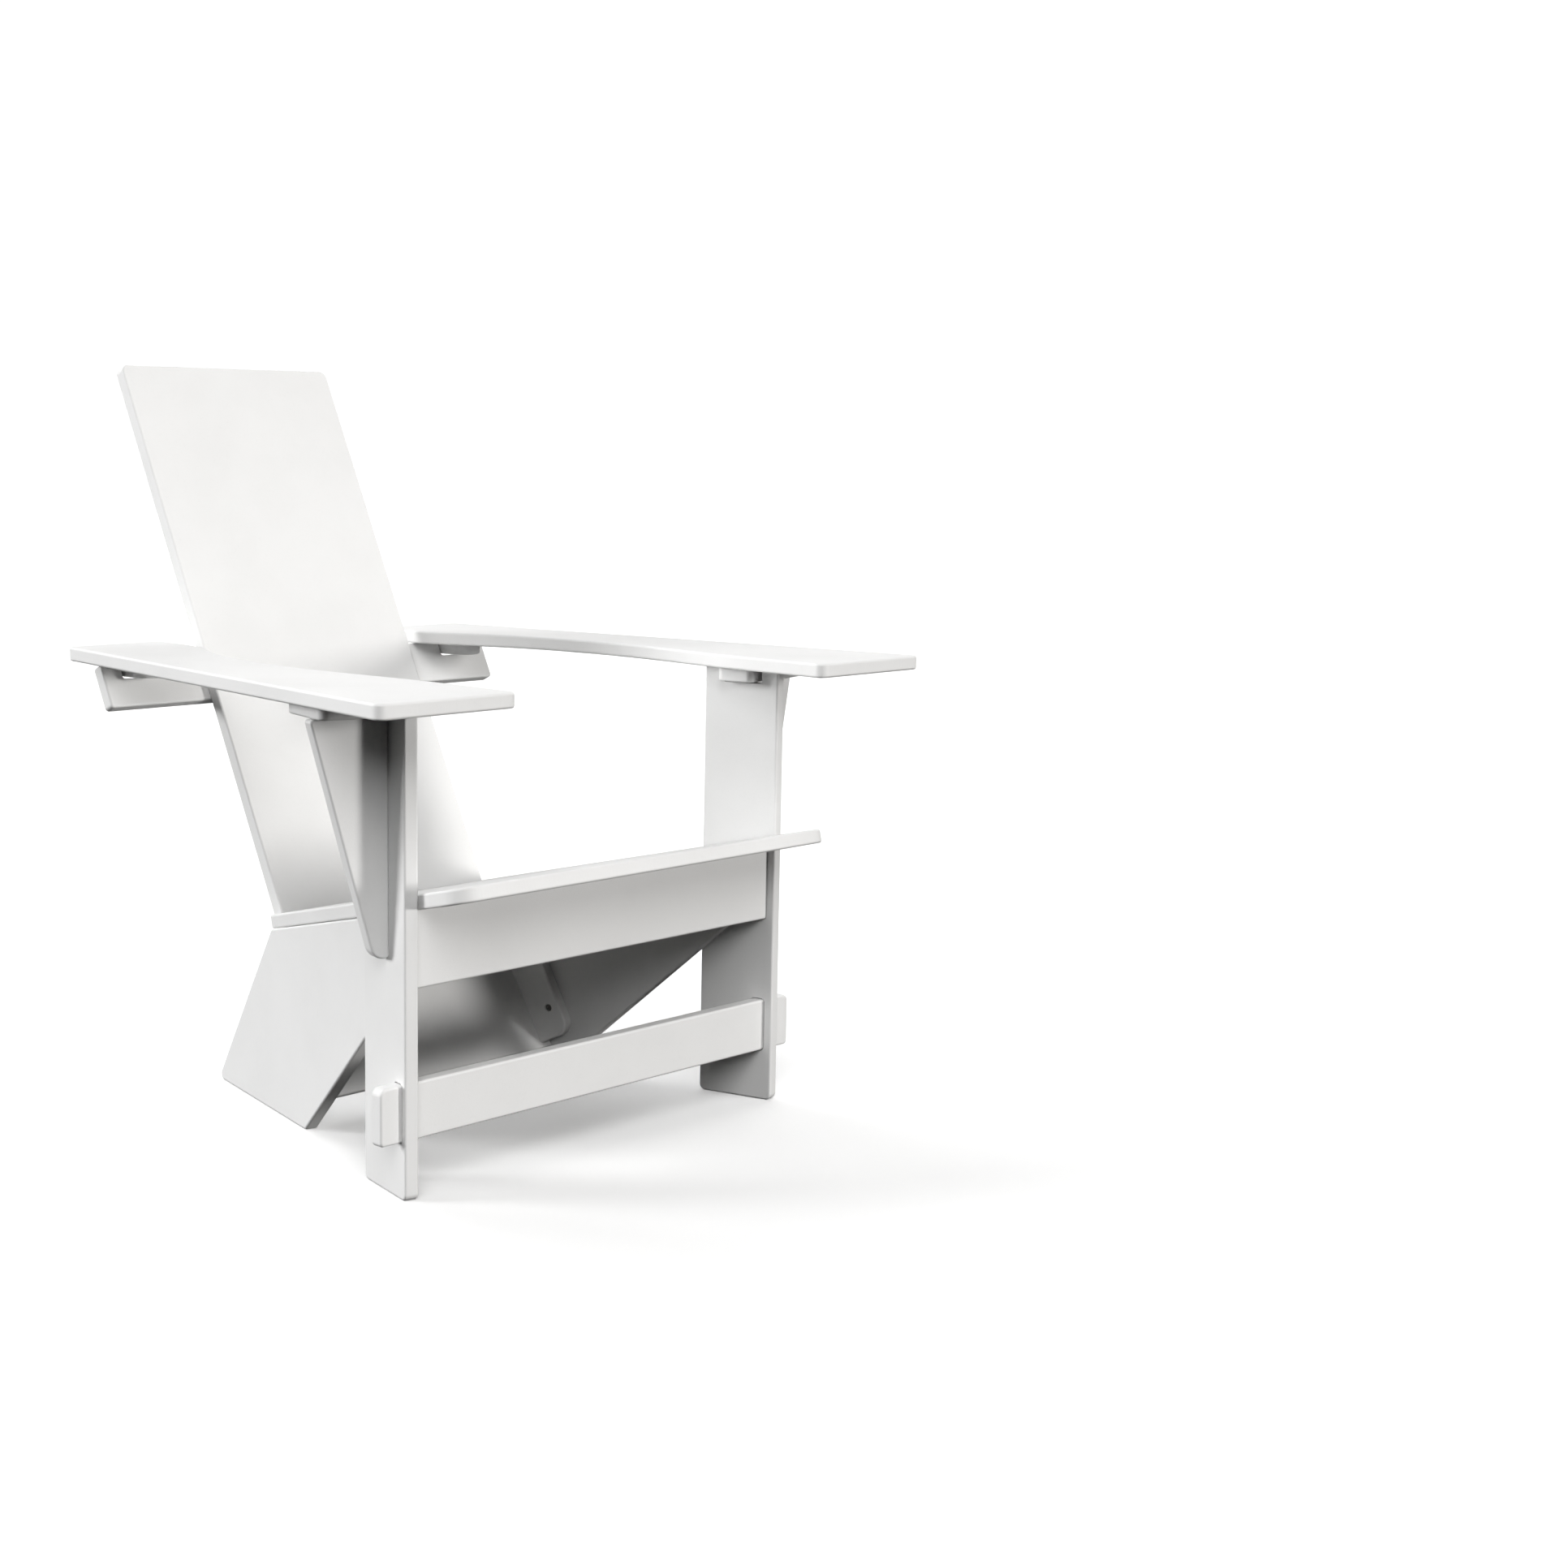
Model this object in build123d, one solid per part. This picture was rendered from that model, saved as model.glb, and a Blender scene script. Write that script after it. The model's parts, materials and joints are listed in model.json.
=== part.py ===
from build123d import *
import os
from math import atan, cos, radians, sin, sqrt, tan

# Adirondack chair cut from flat sheet plastic, in millimetres.
# +X is right as seen from the front, +Y runs to the rear and Z = 0 is the floor. The boards are drawn
# with Y = 0 at the front legs' inner front edges. At the end the whole set moves along Y, so that the
# origin is the centre of the bottom of the chair's bounding box.

# ---- driving dimensions ----
sheet = 18.0                        # thickness of every board
round_over = 3.0                    # radius along every cut edge
small_corner = 4.0                  # corners that are only broken
touch_gap = 0.3                     # between boards that meet edge to face
toe_in = radians(14)                # each side frame turns in towards the rear
leg_x = 305.0                       # from the middle to a leg's inner front edge

leg_width = 107.5
leg_height = 575.5                  # also the underside of the arms
leg_foot_radius = 8.0
notch_from, notch_to = 23.5, 83.0   # notch in the leg's top, along the leg
notch_bottom = 555.0
notch_radius = 6.0

rail_front = 11.8
rail_bottom, rail_top = 68.0, 136.0
rail_half = 351.0
rail_top_radius, rail_bottom_radius = 9.0, 5.0
slot_clearance = 1.5
slot_radius = 6.0

apron_front = 10.0
apron_bottom = 245.5
apron_end_gap = 0.8

seat_slope = atan(0.240)            # the seat falls towards the rear
seat_datum = 339.4                  # height of the underside's plane at Y = 0
seat_front_y = -87.0
seat_side_gap = 2.5
seat_front_radius = 31.0
seat_rear_radius = 8.0

back_tilt = atan(0.4903)            # from the vertical
back_foot_y = 300.8                 # where the plane of the back's front face meets the floor
back_half = 174.4
back_bottom, back_top = 36.0, 1071.0    # up the slope, from the floor
back_shoulder = 288.0               # below this the sides flare
back_side_gap = 1.0
back_top_radius = 10.0

stringer_front = 33.5               # along the side frame
stringer_rear_top = 426.4
stringer_front_foot, stringer_rear_foot = 323.9, 613.0
stringer_nose = 256.7               # height of the lower edge at the front end
stringer_front_radius, stringer_rear_radius = 6.0, 8.0

back_cleat_depth = 46.0             # in front of the back panel, square to it
back_cleat_bottom = 45.0            # up the slope
back_cleat_radius = 21.0
back_cleat_top_gap = 2.0
seat_cleat_front, seat_cleat_rear = 112.0, 345.0
seat_cleat_height = 36.0
apron_cleat_length = 36.0
apron_cleat_bottom, apron_cleat_top = 262.0, 320.0

arm_front, arm_rear = -113.9, 669.0
arm_outer = 457.0                   # outer front corner, before it is rounded
arm_taper = radians(9.0)            # the outer edge turns in towards the rear
arm_corner = 12.0
arm_inner_front, arm_inner_rear = 257.5, 192.0
elbow_start, elbow_end = 0.0, 627.0     # the inner edge curves between these
arm_waist = (274.0, 225.0)          # the inner edge's furthest point from the middle
elbow_swell = (235.5, 482.0)

bracket_front = 39.0                # along the leg
bracket_reach = 96.5
bracket_foot_reach = 19.7
bracket_bottom = 278.0
bracket_radius = 18.0

plate_from, plate_to = 19.0, 115.5  # front arm plate, along the leg
plate_reach = 92.0
plate_corner = 12.0
tongue_width = 50.0
tongue_from = 30.5
tongue_reach = 18.0
tongue_corner = 8.0
tongue_root = 2.0

brace_half = 327.0
brace_bottom, brace_top = 589.5, 649.8  # up the slope
brace_corner = 5.0
key_inner = 246.0                   # rear arm plate, from the middle
key_front, key_rear = 554.0, 640.0
key_nose = 24.0
key_side_gap, key_under_gap = 3.0, 2.5

screw_head_radius, screw_head_height = 4.6, 3.0
screw_recess = 1.0                  # the head lies this far below the surface
socket_size, socket_depth = 3.6, 1.8    # hexagon socket, across its flats
shank_radius, shank_point = 2.4, 3.0
short_screw, long_screw = 28.0, 42.0    # under the head
counterbore_radius = 5.2
shank_clearance = 0.1

# where screws are driven on the right side; the left one has their mirror images
leg_screw_spots = ((66.0, 252.0), (94.0, 240.0), (94.0, 266.0))     # along, height
bracket_foot_heights = (294.0, 318.0)
bracket_top_reaches = (28.0, 68.0)      # out from the leg
front_arm_spots = ((32.0, 20.0), (32.0, 72.0), (98.0, 20.0), (98.0, 72.0))  # along, out from the leg
rear_arm_rows = (570.0, 586.0)          # towards the rear
brace_columns = (50.0, 130.0)           # from the middle
back_cleat_rows = (84.6, 215.0)         # up the back's slope
back_cleat_inset = 33.0                 # in front of the back
back_panel_rows = (62.0, 140.0, 190.0)  # up the back's slope
seat_cleat_columns = (130.0, 220.0, 312.0)  # along
seat_columns = (150.0, 240.0, 325.0)    # along
apron_cleat_heights = (272.0, 310.0)
apron_heights = (284.0, 298.0)

# ---- directions and planes ----
up = Vector(0, 0, 1)
along = Vector(-sin(toe_in), cos(toe_in), 0)    # rearwards along the right side frame
outward = Vector(cos(toe_in), sin(toe_in), 0)   # square to that frame, away from the middle
seat_up = Vector(0, sin(seat_slope), cos(seat_slope))
back_facing = Vector(0, -cos(back_tilt), sin(back_tilt))
side_plane = Plane(origin=(leg_x, 0, 0), x_dir=along, z_dir=outward)
seat_plane = Plane(origin=(0, 0, seat_datum), x_dir=(1, 0, 0), z_dir=seat_up)
back_plane = Plane(origin=(0, back_foot_y, 0), x_dir=(1, 0, 0), z_dir=back_facing)
plate_bottom = leg_height - sheet


def side_point(a, w, z):
    """Point by the right side frame: a along it, w outwards from the legs' inner faces."""
    return Vector(leg_x, 0, z) + along * a + outward * w


def along_frame(y, w):
    """Distance along the side frame at which it reaches y, at w outwards from the legs' inner faces."""
    return (y - w * sin(toe_in)) / cos(toe_in)


def seat_height(a, w):
    """Height of the seat's underside over a point by the side frame."""
    return seat_datum - tan(seat_slope) * (a * cos(toe_in) + w * sin(toe_in))


def back_point(s, q, w):
    """Point by the side frame: s up the back's slope and q in front of its face, as (along, height)."""
    y = back_foot_y + s * sin(back_tilt) - q * cos(back_tilt)
    return along_frame(y, w), s * cos(back_tilt) + q * sin(back_tilt)


def outline(plane, corners):
    """Closed outline from (x, y, radius) corners; radius 0 leaves a corner sharp."""
    points = [(x, y) for x, y, radius in corners]
    radii = [radius for x, y, radius in corners]
    return plane * make_face(FilletPolyline(*points, radius=radii, close=True))


def board(face, direction):
    """Board cut from sheet to an outline, with the edges of both its faces rounded over."""
    blank = extrude(face, amount=sheet, dir=direction)
    faces = blank.faces().sort_by(SortBy.AREA)[-2:]
    edges = ShapeList([edge for side in faces for edge in side.outer_wire().edges()])
    return fillet(edges, radius=round_over)


def trim(shape, point, direction):
    """Cut away what stands beyond a plane, on the side that the direction points to."""
    return split(shape, bisect_by=Plane(origin=point, z_dir=direction), keep=Keep.BOTTOM)


# ---- boards of the right half; the left ones are their mirror images ----
def front_leg():
    corners = [
        (0, 0, leg_foot_radius),
        (leg_width, 0, leg_foot_radius),
        (leg_width, leg_height, small_corner),
        (0, leg_height, small_corner),
    ]
    notch = [
        (notch_from, notch_bottom, notch_radius),
        (notch_to, notch_bottom, notch_radius),
        (notch_to, leg_height + sheet, 0),
        (notch_from, leg_height + sheet, 0),
    ]
    slot_plane = Plane.YZ * Pos(rail_front + sheet / 2, (rail_bottom + rail_top) / 2, 0)
    slot_width = sheet + 2 * slot_clearance
    slot_height = rail_top - rail_bottom + 2 * slot_clearance
    slot = slot_plane * RectangleRounded(slot_width, slot_height, slot_radius)
    leg = board(outline(side_plane, corners), outward)
    leg -= extrude(outline(side_plane, notch), amount=sheet, dir=outward)
    return leg - extrude(slot, amount=leg_x + leg_width, dir=(1, 0, 0))


def stringer():
    corners = [
        (stringer_front, stringer_nose, small_corner),
        (stringer_front_foot, 0, stringer_front_radius),
        (stringer_rear_foot, 0, stringer_rear_radius),
        (stringer_rear_top, seat_height(stringer_rear_top, 0) - touch_gap, small_corner),
        (stringer_front, seat_height(stringer_front, 0) - touch_gap, small_corner),
    ]
    return board(outline(side_plane, corners), -outward)


def back_cleat():
    """Upright batten inside the stringer: it carries the back panel's edge."""
    outer = -sheet
    overrun = sheet / 2
    corners = [
        (*back_point(back_cleat_bottom, -overrun, outer), 0),
        (*back_point(back_cleat_bottom, back_cleat_depth, outer), back_cleat_radius),
        (*back_point(back_shoulder, back_cleat_depth, outer), 0),
        (*back_point(back_shoulder, -overrun, outer), 0),
    ]
    inner_plane = side_plane.offset(outer)
    cleat = board(outline(inner_plane, corners), -outward)
    cleat = trim(cleat, back_plane.origin + back_facing * touch_gap, -back_facing)
    return trim(cleat, seat_plane.origin - seat_up * back_cleat_top_gap, seat_up)


def seat_cleat():
    """Batten along the top of the stringer: the seat panel is screwed down on it."""
    outer = -sheet
    front_top = seat_height(seat_cleat_front, outer) - touch_gap
    rear_top = seat_height(seat_cleat_rear, outer) - touch_gap
    corners = [
        (seat_cleat_front, front_top - seat_cleat_height, small_corner),
        (seat_cleat_rear, rear_top - seat_cleat_height, small_corner),
        (seat_cleat_rear, rear_top, small_corner),
        (seat_cleat_front, front_top, small_corner),
    ]
    return board(outline(side_plane.offset(outer), corners), -outward)


def apron_cleat():
    """Corner block that ties the apron to the stringer from behind."""
    outer = -sheet
    apron_rear = apron_front + sheet + touch_gap
    front = along_frame(apron_rear, outer)
    corners = [
        (front - sheet / 2, apron_cleat_bottom, 0),
        (front + apron_cleat_length, apron_cleat_bottom, small_corner),
        (front + apron_cleat_length, apron_cleat_top, small_corner),
        (front - sheet / 2, apron_cleat_top, 0),
    ]
    cleat = board(outline(side_plane.offset(outer), corners), -outward)
    return trim(cleat, (0, apron_rear, 0), (0, -1, 0))


def arm():
    """Level arm board: straight outer edge that tapers rearwards, and an S-shaped inner edge."""
    arm_outer_rear = arm_outer - tan(arm_taper) * (arm_rear - arm_front)
    inner_front = (arm_inner_front, arm_front)
    outer_front = (arm_outer, arm_front)
    outer_rear = (arm_outer_rear, arm_rear)
    inner_rear = (arm_inner_rear, arm_rear)
    curve_start = (arm_inner_front, elbow_start)
    curve_end = (arm_inner_rear, elbow_end)
    edges = [
        Polyline(curve_start, inner_front, outer_front, outer_rear, inner_rear, curve_end),
        Spline(curve_start, arm_waist, elbow_swell, curve_end, tangents=[(0, 1), (0, 1)]),
    ]
    face = make_face(edges)
    ends = face.vertices().group_by(Axis.Y)
    face = fillet(ends[0] + ends[-1], radius=arm_corner)
    return board(Pos(0, 0, leg_height) * face, up)


def arm_bracket():
    """Tapered gusset that stands out square from the leg, under the arm."""
    plane = Plane(origin=side_point(bracket_front, sheet, 0), x_dir=outward, z_dir=-along)
    top = plate_bottom - touch_gap
    corners = [
        (0, bracket_bottom, small_corner),
        (bracket_foot_reach, bracket_bottom, bracket_radius),
        (bracket_reach, top, small_corner),
        (0, top, small_corner),
    ]
    return board(outline(plane, corners), along)


def front_arm_plate():
    """Plate between arm and gusset; its tongue passes through the notch in the leg's top."""
    plane = Plane(origin=side_point(0, sheet, leg_height), x_dir=along, z_dir=-up)
    tongue_to = tongue_from + tongue_width
    tongue_end = -sheet - tongue_reach
    corners = [
        (plate_from, 0, small_corner),
        (tongue_from, 0, tongue_root),
        (tongue_from, tongue_end, tongue_corner),
        (tongue_to, tongue_end, tongue_corner),
        (tongue_to, 0, tongue_root),
        (plate_to, 0, small_corner),
        (plate_to, plate_reach, plate_corner),
        (plate_from, plate_reach, plate_corner),
    ]
    return board(outline(plane, corners), -up)


def rear_arm_plate():
    """Round-nosed key under the arm's rear end; it lies in the notch in the brace's top."""
    key_outer = key_inner + tongue_width
    corners = [
        (key_inner, key_front, key_nose),
        (key_outer, key_front, key_nose),
        (key_outer, key_rear, small_corner),
        (key_inner, key_rear, small_corner),
    ]
    return board(outline(Plane.XY.offset(leg_height), corners), -up)


# ---- boards across the middle ----
def front_rail():
    """Low stretcher whose ends stand out beyond the legs."""
    plane = Plane(origin=(0, rail_front, 0), x_dir=(1, 0, 0), z_dir=(0, -1, 0))
    corners = [
        (-rail_half, rail_bottom, rail_bottom_radius),
        (rail_half, rail_bottom, rail_bottom_radius),
        (rail_half, rail_top, rail_top_radius),
        (-rail_half, rail_top, rail_top_radius),
    ]
    return board(outline(plane, corners), (0, 1, 0))


def front_apron():
    plane = Plane(origin=(0, apron_front, 0), x_dir=(1, 0, 0), z_dir=(0, -1, 0))
    corners = [
        (-leg_x, apron_bottom, 0),
        (leg_x, apron_bottom, 0),
        (leg_x, seat_datum, 0),
        (-leg_x, seat_datum, 0),
    ]
    apron = board(outline(plane, corners), (0, 1, 0))
    apron = trim(apron, seat_plane.origin - seat_up * touch_gap, seat_up)
    end = side_point(0, -apron_end_gap, 0)
    for side in (1, -1):
        apron = trim(apron, (side * end.X, end.Y, 0), (side * outward.X, outward.Y, 0))
    return apron


def seat_panel():
    """One board between the legs, stopped by the back panel; its front corners are rounded."""
    back_y = (back_foot_y + tan(back_tilt) * seat_datum) / (1 + tan(back_tilt) * tan(seat_slope))
    corners = []
    ends = ((seat_front_y, seat_front_radius), (back_y - touch_gap, seat_rear_radius))
    for y, radius in ends:
        half = leg_x - seat_side_gap - tan(toe_in) * y
        corners.append((half, y / cos(seat_slope), radius))
        corners.insert(0, (-half, y / cos(seat_slope), radius))
    return board(outline(seat_plane, corners), seat_up)


def back_panel():
    """Reclined board: parallel above the seat, flared below it to meet the stringers."""
    frame_y = back_foot_y + back_bottom * sin(back_tilt)
    foot_half = leg_x - sheet / cos(toe_in) - tan(toe_in) * frame_y
    right_side = [
        (foot_half, back_bottom, 0),
        (back_half, back_shoulder, 0),
        (back_half, back_top, back_top_radius),
    ]
    left_side = [(-x, s, radius) for x, s, radius in reversed(right_side)]
    panel = board(outline(back_plane, right_side + left_side), -back_facing)
    w = -sheet - back_side_gap
    stringer_side = [
        (*back_point(0, sheet, w), 0),
        (*back_point(back_shoulder, sheet, w), 0),
        (*back_point(back_shoulder, -2 * sheet, w), 0),
        (*back_point(0, -2 * sheet, w), 0),
    ]
    waste = extrude(outline(side_plane.offset(w), stringer_side), amount=sheet, dir=outward)
    return panel - waste - mirror(waste, about=Plane.YZ)


def rear_brace():
    """Board across the back of the back panel; the arms rest on its top edge."""
    plane = back_plane.offset(-sheet)
    corners = [
        (-brace_half, brace_bottom, brace_corner),
        (brace_half, brace_bottom, brace_corner),
        (brace_half, brace_top, brace_corner),
        (-brace_half, brace_top, brace_corner),
    ]
    brace = board(outline(plane, corners), -back_facing)
    key_low = (plate_bottom + sheet * sin(back_tilt)) / cos(back_tilt) - key_under_gap
    for x in (key_inner - key_side_gap, -key_inner - tongue_width - key_side_gap):
        notch = [
            (x, key_low, small_corner),
            (x + tongue_width + 2 * key_side_gap, key_low, small_corner),
            (x + tongue_width + 2 * key_side_gap, brace_top + sheet, 0),
            (x, brace_top + sheet, 0),
        ]
        brace -= extrude(outline(plane, notch), amount=sheet, dir=-back_facing)
    return brace


# ---- screws: hexagon-socket heads in counterbores, each in the frame of the hole it is driven into ----
def screw(length):
    seat = screw_recess + screw_head_height
    head = Pos(0, 0, screw_recess) * extrude(Circle(screw_head_radius), amount=screw_head_height)
    head = chamfer(head.edges().group_by(Axis.Z)[0], length=screw_recess / 2)
    socket = RegularPolygon(socket_size / sqrt(3), 6)
    head -= Pos(0, 0, screw_recess) * extrude(socket, amount=socket_depth)
    shank = Pos(0, 0, seat) * extrude(Circle(shank_radius), amount=length - shank_point)
    tip_z = seat + length - shank_point / 2
    tip = Pos(0, 0, tip_z) * Cone(shank_radius, shank_radius / 4, shank_point)
    return head + shank + tip


def screw_hole(length):
    seat = screw_recess + screw_head_height
    mouth = Pos(0, 0, -seat) * extrude(Circle(counterbore_radius), amount=2 * seat)
    bore = extrude(Circle(shank_radius + shank_clearance), amount=seat + length + shank_clearance)
    return mouth + bore


halves = {
    "front_leg": front_leg(),
    "stringer": stringer(),
    "back_cleat": back_cleat(),
    "seat_cleat": seat_cleat(),
    "apron_cleat": apron_cleat(),
    "arm": arm(),
    "arm_bracket": arm_bracket(),
    "front_arm_plate": front_arm_plate(),
    "rear_arm_plate": rear_arm_plate(),
}
middles = {
    "front_rail": front_rail(),
    "front_apron": front_apron(),
    "seat_panel": seat_panel(),
    "back_panel": back_panel(),
    "rear_brace": rear_brace(),
}
screws = {}


def drive(group, start, direction, length, boards):
    """Drive a screw on each side of the chair: cut its hole in the boards and add it to its group."""
    place = Plane(origin=start, z_dir=direction)
    hole = place * screw_hole(length)
    body = place * screw(length)
    for name in boards:
        if name in halves:
            halves[name] -= hole
        else:
            middles[name] = middles[name] - hole - mirror(hole, about=Plane.YZ)
    screws.setdefault(group, []).extend([body, mirror(body, about=Plane.YZ)])


cleat_face = -2 * sheet
cleat_middle = -1.5 * sheet
for a, z in leg_screw_spots:
    drive("leg_screws", side_point(a, -sheet, z), outward, short_screw, ["stringer", "front_leg"])
bracket_middle = bracket_front + sheet / 2
for z in bracket_foot_heights:
    start = side_point(bracket_middle, 0, z)
    drive("bracket_foot_screws", start, outward, short_screw, ["front_leg", "arm_bracket"])
for reach in bracket_top_reaches:
    start = side_point(bracket_middle, sheet + reach, leg_height)
    drive("bracket_top_screws", start, -up, long_screw, ["front_arm_plate", "arm_bracket"])
for a, reach in front_arm_spots:
    start = side_point(a, sheet + reach, plate_bottom)
    drive("front_arm_screws", start, up, short_screw, ["front_arm_plate", "arm"])
for y in rear_arm_rows:
    start = Vector(key_inner + tongue_width / 2, y, plate_bottom)
    drive("rear_arm_screws", start, up, short_screw, ["rear_arm_plate", "arm"])
brace_face = back_plane.offset(-2 * sheet)
for x in brace_columns:
    start = brace_face.from_local_coords(Vector(x, (brace_bottom + brace_top) / 2, 0))
    drive("brace_screws", start, back_facing, short_screw, ["rear_brace", "back_panel"])
for s in back_cleat_rows:
    a, z = back_point(s, back_cleat_inset, cleat_face)
    start = side_point(a, cleat_face, z)
    drive("back_cleat_screws", start, outward, short_screw, ["back_cleat", "stringer"])
into_cleat = up * sin(back_tilt) - along * cos(back_tilt)
for s in back_panel_rows:
    a, z = back_point(s, -sheet, cleat_middle)
    start = side_point(a, cleat_middle, z)
    drive("back_panel_screws", start, into_cleat, long_screw, ["back_panel", "back_cleat"])
for a in seat_cleat_columns:
    z = seat_height(a, -sheet) - seat_cleat_height / 2
    start = side_point(a, cleat_face, z)
    drive("seat_cleat_screws", start, outward, short_screw, ["seat_cleat", "stringer"])
for a in seat_columns:
    z = seat_height(a, -sheet) - touch_gap - seat_cleat_height
    start = side_point(a, cleat_middle, z)
    drive("seat_screws", start, seat_up, long_screw, ["seat_cleat", "seat_panel"])
apron_cleat_rear = along_frame(apron_front + sheet + touch_gap, -sheet) + apron_cleat_length
for z in apron_cleat_heights:
    start = side_point(apron_cleat_rear - apron_cleat_length / 2, cleat_face, z)
    drive("apron_cleat_screws", start, outward, short_screw, ["apron_cleat", "stringer"])
for z in apron_heights:
    start = side_point(apron_cleat_rear, cleat_middle, z)
    drive("apron_screws", start, -along, long_screw, ["apron_cleat", "front_apron"])

nodes = dict(middles)
for name, right in halves.items():
    nodes[name + "_right"] = right
    nodes[name + "_left"] = mirror(right, about=Plane.YZ)
for name, group in screws.items():
    nodes[name] = Compound(group)

whole = Compound(list(middles.values()) + list(halves.values())).bounding_box()
centre_y = (whole.min.Y + whole.max.Y) / 2
os.makedirs("parts", exist_ok=True)
for name, shape in nodes.items():
    export_step(Pos(0, -centre_y, 0) * shape, f"parts/{name}.step")
print("moved along Y by", -centre_y)
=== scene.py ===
import bpy
import json
import math
from mathutils import Matrix, Vector

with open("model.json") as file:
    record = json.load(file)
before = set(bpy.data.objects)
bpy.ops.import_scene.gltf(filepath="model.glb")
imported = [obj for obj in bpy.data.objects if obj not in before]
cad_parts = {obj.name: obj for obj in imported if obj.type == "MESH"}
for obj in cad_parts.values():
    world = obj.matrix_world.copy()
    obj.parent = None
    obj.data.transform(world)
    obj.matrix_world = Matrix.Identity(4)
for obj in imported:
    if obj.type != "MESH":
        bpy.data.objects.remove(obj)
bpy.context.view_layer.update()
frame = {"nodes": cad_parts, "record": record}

# ---- camera ----
CAMERA_PLACE = (-2.0270, -2.3629, 0.8685)
CAMERA_HEADING = 45.411         # degrees from +Y towards +X
CAMERA_PITCH = 8.213            # degrees below the horizon
CAMERA_ROLL = 0.640
CAMERA_LENS = 54.82             # mm, on a sensor 36 mm wide
CAMERA_SHIFT = 0.10

# ---- stage and light ----
STAGE_RADIUS = 24.0             # metres
LAMP_DISTANCE = 4.0
FLOOR_WHITE = 0.96
FLOOR_GREY = 0.94
FLOOR_GRAIN = 40.0              # spots for each metre
FLOOR_ROUGHNESS = 0.9
FLOOR_GLOW = 0.15               # the floor is lit from below too, as on a light table
BACKDROP_WHITE = 1.05
SKY_LEVEL = 0.01
BOUNCE_LEVEL = 0.005            # what comes from below the horizon
HORIZON_BLUR = 0.02
WARM = (1.0, 0.985, 0.965)
NEUTRAL = (1.0, 1.0, 1.0)
# name, degrees from +Y towards +X that it stands at, degrees up, strength, apparent size, colour
LAMPS = [
    ("top_lamp", 0, 35, 1.10, 35, NEUTRAL),
    ("rear_lamp", 45, 35, 0.60, 35, NEUTRAL),
    ("rim_lamp", 314, 12, 2.60, 20, NEUTRAL),
    ("key_lamp", 225, 35, 1.34, 35, NEUTRAL),
    ("high_lamp", 225, 60, 0.65, 40, NEUTRAL),
    ("fill_lamp", 180, 36, 0.42, 35, WARM),
    ("front_lamp", 150, 6, 1.80, 10, WARM),
    ("side_lamp", 75, 25, 0.60, 30, NEUTRAL),
]

# ---- sheet plastic ----
PLASTIC_WHITE = (0.800, 0.800, 0.796)
PLASTIC_CLOUD = (0.770, 0.770, 0.765)
PLASTIC_IOR = 1.52
FACE_ROUGHNESS = (0.60, 0.68)
EDGE_SHINE = -0.06              # change of roughness on cut edges
ROUND_SHINE = -0.16             # and on the round-overs
RELIEF_DEPTH = 0.00008          # metres
RELIEF_STRENGTH = 0.7
CUTTER_SHARE = 0.8              # height of the cutter's marks beside the pebbles
FLECK_SHARE = 0.35              # depth of the flecks' colour beside the clouds
# how squarely a place looks along its board's normal, where a pattern sets in and where it is full
ON_FACE = (0.90, 0.995)
ON_EDGE = (0.45, 0.05)
# sizes of the patterns, in features for each metre
CLOUDS, FLECKS, HANDLING = 7.0, 260.0, 16.0
PEBBLES, GRAIN, CUTTER_MARKS = 620.0, 1500.0, 420.0

# ---- screw steel ----
STEEL_LIGHT = (0.22, 0.215, 0.21)
STEEL_DARK = (0.15, 0.147, 0.143)
STEEL_ROUGHNESS = (0.26, 0.40)
SCRATCHES, SMEARS = 1800.0, 240.0
SCRATCH_DEPTH = 0.00002         # metres
SCRATCH_STRENGTH = 0.5


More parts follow.
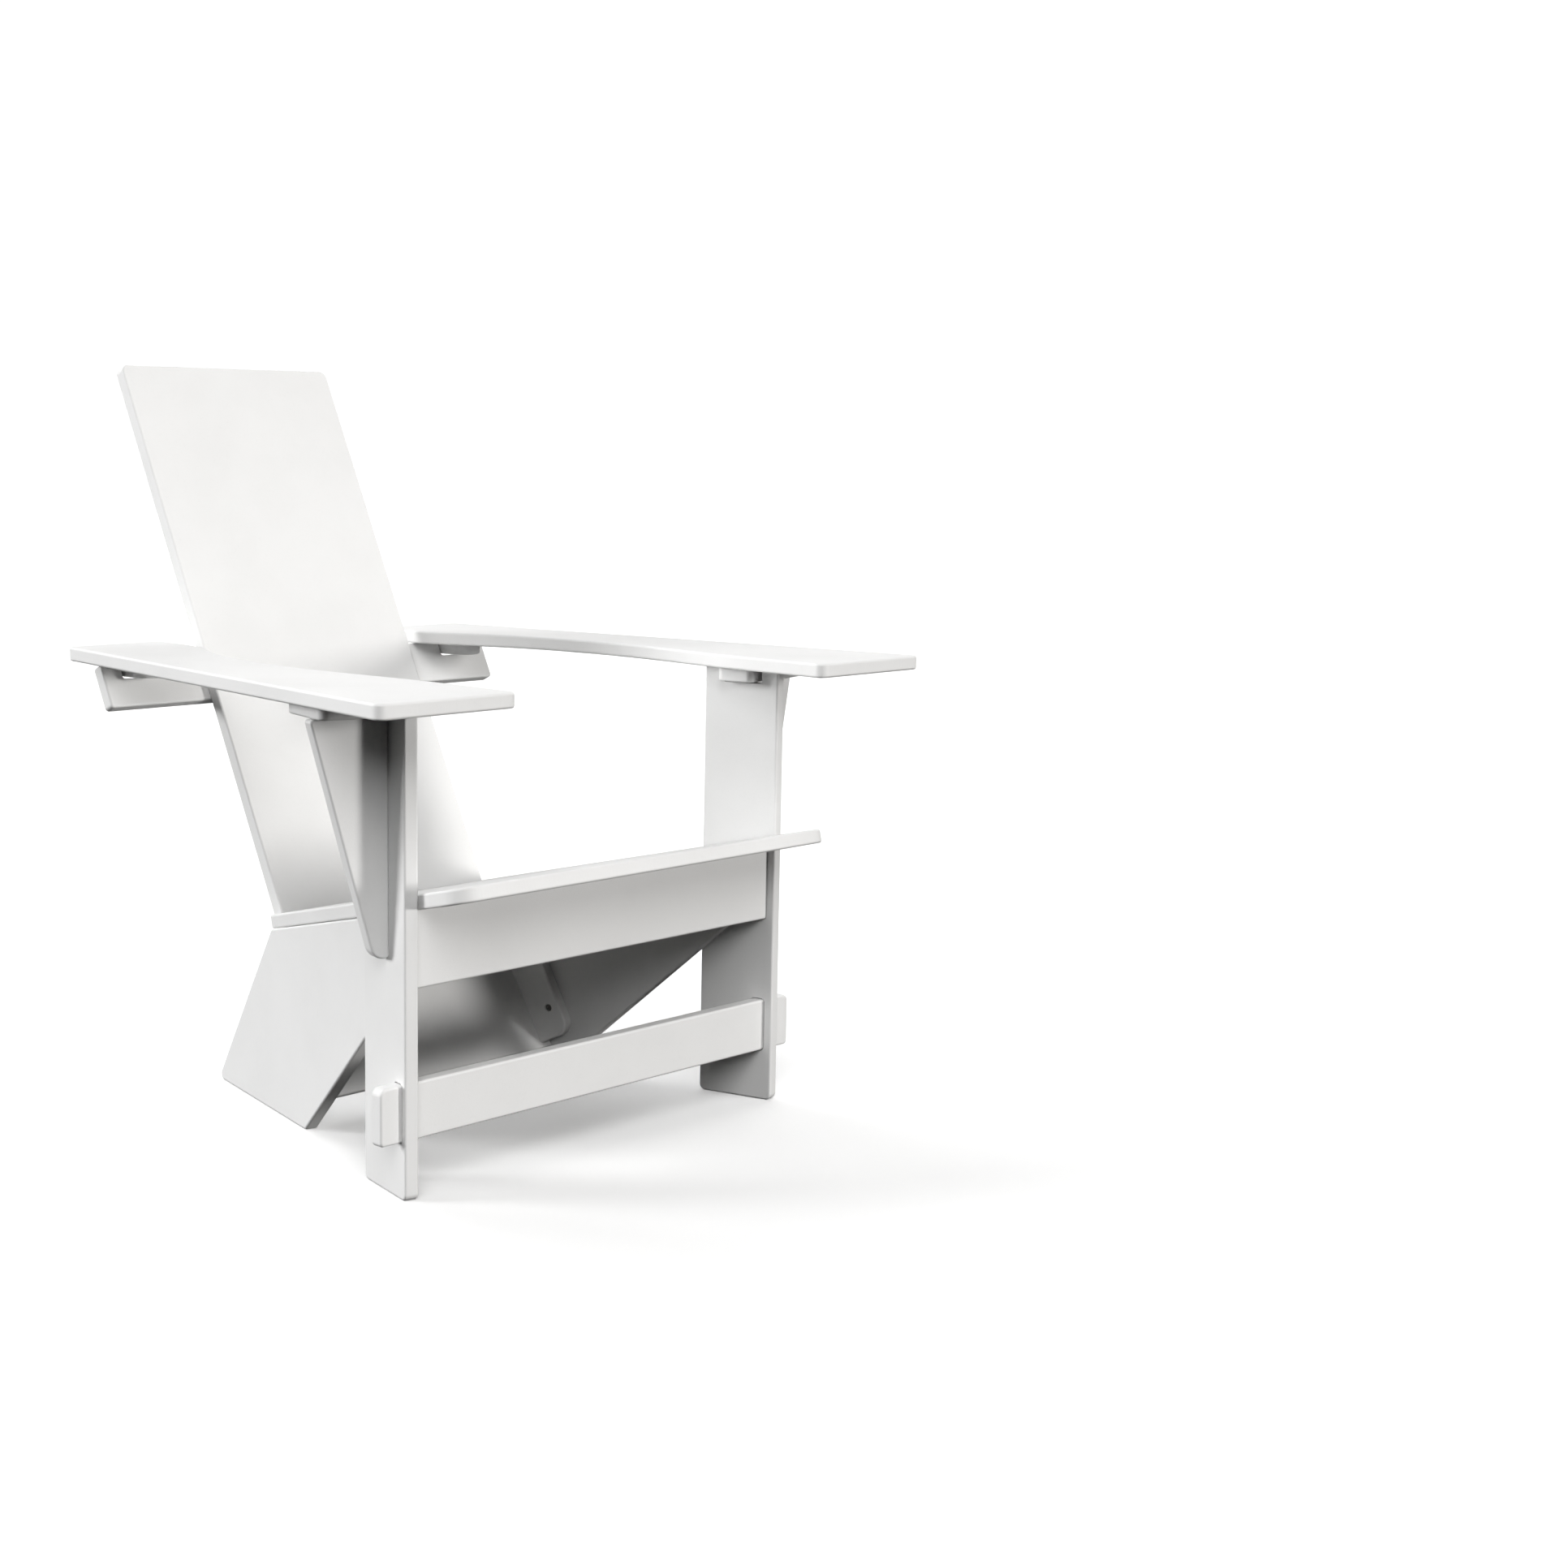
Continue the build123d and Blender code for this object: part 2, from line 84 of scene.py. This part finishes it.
class Nodes:
    """A material's node tree, built from the shader backwards."""

    def __init__(self, name):
        self.material = bpy.data.materials.new(name)
        self.material.use_nodes = True
        self.tree = self.material.node_tree
        self.shader = self.tree.nodes["Principled BSDF"]
        self.places = self.add("ShaderNodeTexCoord").outputs["Object"]

    def add(self, kind, **settings):
        node = self.tree.nodes.new(kind)
        for key, value in settings.items():
            setattr(node, key, value)
        return node

    def put(self, socket, value):
        """Link an output to a socket, or set the socket's own value."""
        if isinstance(value, bpy.types.NodeSocket):
            self.tree.links.new(value, socket)
        else:
            socket.default_value = value

    def noise(self, places, scale, detail=2.0, roughness=0.5):
        node = self.add("ShaderNodeTexNoise")
        self.put(node.inputs["Vector"], places)
        self.put(node.inputs["Scale"], scale)
        self.put(node.inputs["Detail"], detail)
        self.put(node.inputs["Roughness"], roughness)
        return node.outputs["Fac"]

    def pebbles(self, places, scale):
        node = self.add("ShaderNodeTexVoronoi", feature="SMOOTH_F1")
        self.put(node.inputs["Vector"], places)
        self.put(node.inputs["Scale"], scale)
        self.put(node.inputs["Smoothness"], 0.6)
        return node.outputs["Distance"]

    def math(self, operation, *values):
        node = self.add("ShaderNodeMath", operation=operation)
        for socket, value in zip(node.inputs, values):
            self.put(socket, value)
        return node.outputs[0]

    def vector(self, operation, *values):
        node = self.add("ShaderNodeVectorMath", operation=operation)
        for socket, value in zip(node.inputs, values):
            self.put(socket, value)
        return node.outputs["Value" if operation == "DOT_PRODUCT" else "Vector"]

    def scaled(self, vector, factor):
        node = self.add("ShaderNodeVectorMath", operation="SCALE")
        self.put(node.inputs[0], vector)
        self.put(node.inputs["Scale"], factor)
        return node.outputs["Vector"]

    def ramp(self, value, start, end, low=0.0, high=1.0):
        node = self.add("ShaderNodeMapRange", interpolation_type="SMOOTHSTEP")
        for name, given in (
            ("Value", value),
            ("From Min", start),
            ("From Max", end),
            ("To Min", low),
            ("To Max", high),
        ):
            self.put(node.inputs[name], given)
        return node.outputs["Result"]

    def blend(self, factor, low, high):
        node = self.add("ShaderNodeMix", data_type="RGBA")
        self.put(node.inputs["Factor"], factor)
        self.put(node.inputs["A"], (*low, 1.0))
        self.put(node.inputs["B"], (*high, 1.0))
        return node.outputs["Result"]

    def bump(self, height, distance, strength):
        node = self.add("ShaderNodeBump")
        self.put(node.inputs["Height"], height)
        self.put(node.inputs["Distance"], distance)
        self.put(node.inputs["Strength"], strength)
        return node.outputs["Normal"]


def rounded(direction):
    """The same key for directions that are nearly the same."""
    return tuple(round(value, 2) + 0.0 for value in direction)


def sheet_normal(piece):
    """Direction square to a board's two big faces, from the area its faces cover."""
    askew = Vector((0.31, 0.52, 0.79))      # lies along no board, so it tells the two faces apart
    covered = {}
    for face in piece.data.polygons:
        normal = face.normal if face.normal.dot(askew) > 0 else -face.normal
        key = rounded(normal)
        total, area = covered.get(key, (Vector(), 0.0))
        covered[key] = (total + normal * face.area, area + face.area)
    total = max(covered.values(), key=lambda found: found[1])[0]
    return total.normalized()


def sheet_plastic(name, normal):
    """Dull white sheet: pebbled faces, cut edges with cutter marks, and burnished round-overs."""
    nodes = Nodes(name)
    geometry = nodes.add("ShaderNodeNewGeometry")
    facing = nodes.math("ABSOLUTE", nodes.vector("DOT_PRODUCT", geometry.outputs["Normal"], normal))
    on_face = nodes.ramp(facing, *ON_FACE)
    on_edge = nodes.ramp(facing, *ON_EDGE)
    on_round = nodes.math("SUBTRACT", nodes.math("SUBTRACT", 1.0, on_face), on_edge)

    cloud = nodes.ramp(nodes.noise(nodes.places, CLOUDS, detail=3.0, roughness=0.55), 0.35, 0.75)
    fleck = nodes.ramp(nodes.noise(nodes.places, FLECKS), 0.55, 0.75)
    tone = nodes.math("MULTIPLY_ADD", fleck, FLECK_SHARE, cloud)
    colour = nodes.blend(tone, PLASTIC_WHITE, PLASTIC_CLOUD)
    nodes.put(nodes.shader.inputs["Base Color"], colour)

    handled = nodes.noise(nodes.places, HANDLING, detail=4.0, roughness=0.6)
    face_roughness = nodes.ramp(handled, 0.30, 0.70, *FACE_ROUGHNESS)
    roughness = nodes.math("MULTIPLY_ADD", on_edge, EDGE_SHINE, face_roughness)
    roughness = nodes.math("MULTIPLY_ADD", on_round, ROUND_SHINE, roughness)
    nodes.put(nodes.shader.inputs["Roughness"], roughness)

    # The cutter's marks run through the sheet: their pattern is the same all along its normal.
    through = nodes.vector("DOT_PRODUCT", nodes.places, normal)
    level = nodes.vector("SUBTRACT", nodes.places, nodes.scaled(tuple(normal), through))
    cutter = nodes.noise(level, CUTTER_MARKS, detail=1.0)
    grain = nodes.noise(nodes.places, GRAIN)
    pebble = nodes.math("ADD", nodes.pebbles(nodes.places, PEBBLES), grain)
    marked = nodes.math("MULTIPLY", on_edge, CUTTER_SHARE)
    relief = nodes.math("MULTIPLY", pebble, on_face)
    relief = nodes.math("MULTIPLY_ADD", cutter, marked, relief)
    nodes.put(nodes.shader.inputs["Normal"], nodes.bump(relief, RELIEF_DEPTH, RELIEF_STRENGTH))
    nodes.put(nodes.shader.inputs["IOR"], PLASTIC_IOR)
    return nodes.material


def screw_steel():
    """Darkened steel with fine random scratches."""
    nodes = Nodes("screw_steel")
    scratch = nodes.noise(nodes.places, SCRATCHES)
    smear = nodes.noise(nodes.places, SMEARS)
    nodes.put(nodes.shader.inputs["Base Color"], nodes.blend(smear, STEEL_LIGHT, STEEL_DARK))
    nodes.put(nodes.shader.inputs["Roughness"], nodes.ramp(scratch, 0.3, 0.7, *STEEL_ROUGHNESS))
    nodes.put(nodes.shader.inputs["Normal"], nodes.bump(scratch, SCRATCH_DEPTH, SCRATCH_STRENGTH))
    nodes.put(nodes.shader.inputs["Metallic"], 1.0)
    return nodes.material


def dress(pieces):
    """Give every board the plastic cut in its own direction, and every screw the steel."""
    slots = {part["node"]: part["material_slot"] for part in frame["record"]["subparts"]}
    steel = screw_steel()
    plastics = {}
    for node, piece in pieces.items():
        if slots[node] == "screw_steel":
            material = steel
        else:
            normal = sheet_normal(piece)
            key = rounded(normal)
            if key not in plastics:
                plastics[key] = sheet_plastic(f"sheet_plastic_{len(plastics) + 1}", normal)
            material = plastics[key]
        for slot in piece.material_slots:
            slot.material = material


def disc_mesh(name, radius, sides=96):
    corners = []
    for step in range(sides):
        angle = 2 * math.pi * step / sides
        corners.append((radius * math.cos(angle), radius * math.sin(angle), 0.0))
    mesh = bpy.data.meshes.new(name)
    mesh.from_pydata(corners, [], [tuple(range(sides))])
    return mesh


def dome_mesh(name, radius, sides=48, rings=12):
    corners, faces = [], []
    for ring in range(rings + 1):
        tilt = math.pi / 2 * ring / rings
        reach, height = radius * math.cos(tilt), radius * math.sin(tilt)
        for step in range(sides):
            angle = 2 * math.pi * step / sides
            corners.append((reach * math.cos(angle), reach * math.sin(angle), height))
    for ring in range(rings):
        for step in range(sides):
            beside = (step + 1) % sides
            low, high = ring * sides, (ring + 1) * sides
            faces.append((low + beside, low + step, high + step, high + beside))
    mesh = bpy.data.meshes.new(name)
    mesh.from_pydata(corners, [], faces)
    return mesh


def make_stage():
    """White floor under a white backdrop. The camera sees both, and neither lights the chair."""
    paint = Nodes("floor_paint")
    grain = paint.noise(paint.places, FLOOR_GRAIN, detail=3.0)
    colour = paint.blend(grain, (FLOOR_WHITE,) * 3, (FLOOR_GREY,) * 3)
    paint.put(paint.shader.inputs["Base Color"], colour)
    paint.put(paint.shader.inputs["Roughness"], FLOOR_ROUGHNESS)
    paint.put(paint.shader.inputs["Emission Color"], (1.0, 1.0, 1.0, 1.0))
    paint.put(paint.shader.inputs["Emission Strength"], FLOOR_GLOW)
    floor = bpy.data.objects.new("floor", disc_mesh("floor", STAGE_RADIUS))
    floor.data.materials.append(paint.material)

    glow = Nodes("backdrop_glow")
    glow.put(glow.shader.inputs["Base Color"], (0.0, 0.0, 0.0, 1.0))
    glow.put(glow.shader.inputs["Emission Color"], (1.0, 1.0, 1.0, 1.0))
    glow.put(glow.shader.inputs["Emission Strength"], BACKDROP_WHITE)
    backdrop = bpy.data.objects.new("backdrop", dome_mesh("backdrop", STAGE_RADIUS))
    backdrop.data.materials.append(glow.material)
    backdrop.visible_shadow = False

    for piece in (floor, backdrop):
        bpy.context.collection.objects.link(piece)
        piece.visible_diffuse = False
        piece.visible_glossy = False


def make_sky():
    """A faint even sky, and fainter light from below the horizon."""
    world = bpy.data.worlds.new("studio")
    world.use_nodes = True
    bpy.context.scene.world = world
    tree = world.node_tree
    places = tree.nodes.new("ShaderNodeTexCoord")
    split = tree.nodes.new("ShaderNodeSeparateXYZ")
    level = tree.nodes.new("ShaderNodeMapRange")
    level.inputs["From Min"].default_value = -HORIZON_BLUR
    level.inputs["From Max"].default_value = HORIZON_BLUR
    level.inputs["To Min"].default_value = BOUNCE_LEVEL
    level.inputs["To Max"].default_value = SKY_LEVEL
    tree.links.new(places.outputs["Generated"], split.inputs[0])
    tree.links.new(split.outputs["Z"], level.inputs["Value"])
    tree.links.new(level.outputs["Result"], tree.nodes["Background"].inputs["Strength"])
    tree.nodes["Background"].inputs["Color"].default_value = (*WARM, 1.0)


def make_lamps():
    """Large soft lamps, so far away that each lights everything from one direction."""
    for name, azimuth, elevation, strength, size, colour in LAMPS:
        lamp = bpy.data.lights.new(name, "SUN")
        lamp.color = colour
        lamp.energy = strength
        lamp.angle = math.radians(size)
        holder = bpy.data.objects.new(name, lamp)
        turn, rise = math.radians(azimuth), math.radians(elevation)
        level = math.cos(rise)
        stands = Vector((math.sin(turn) * level, math.cos(turn) * level, math.sin(rise)))
        holder.location = stands * LAMP_DISTANCE
        holder.rotation_mode = "QUATERNION"
        holder.rotation_quaternion = stands.to_track_quat("Z", "Y")
        bpy.context.collection.objects.link(holder)


def make_camera():
    lens = bpy.data.cameras.new("camera")
    lens.lens = CAMERA_LENS
    lens.shift_x = CAMERA_SHIFT
    camera = bpy.data.objects.new("camera", lens)
    heading = Matrix.Rotation(math.radians(-CAMERA_HEADING), 4, "Z")
    pitch = Matrix.Rotation(math.radians(90 - CAMERA_PITCH), 4, "X")
    roll = Matrix.Rotation(math.radians(CAMERA_ROLL), 4, "Z")
    camera.matrix_world = Matrix.Translation(CAMERA_PLACE) @ heading @ pitch @ roll
    bpy.context.collection.objects.link(camera)
    bpy.context.scene.camera = camera


dress(frame["nodes"])
make_stage()
make_sky()
make_lamps()
make_camera()
bpy.context.scene.view_settings.view_transform = "Standard"
